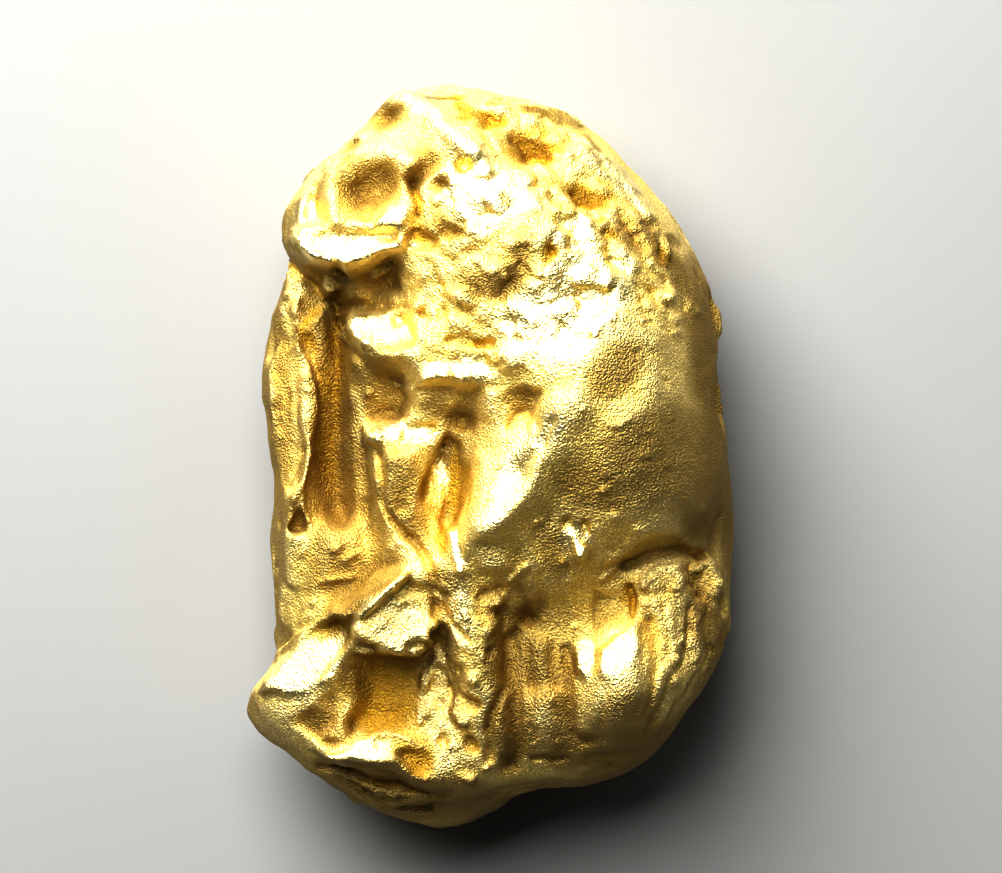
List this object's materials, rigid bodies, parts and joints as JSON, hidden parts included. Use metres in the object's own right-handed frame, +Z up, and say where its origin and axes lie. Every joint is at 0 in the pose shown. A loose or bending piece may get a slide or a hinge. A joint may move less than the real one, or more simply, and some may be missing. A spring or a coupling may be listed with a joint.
{
  "type": "gold nugget",
  "caption": "Stream-worn native gold nugget with rounded lobes, a cratered head, a long channel and folded creases, lying on its flattened back.",
  "frame": {"origin": "middle of the flat face it lies on", "axes": "+Y along the nugget's long side towards the cratered head, +Z up through its thickness, +X towards the smooth flank"},
  "size_m": [0.0098, 0.015, 0.0072],
  "materials": {
    "native_gold": "burnished native gold, glossy on the worn crests, satin and ochre in the hollows"
  },
  "bodies": {
    "root": {"nugget": "native_gold"}
  },
  "joints": []
}
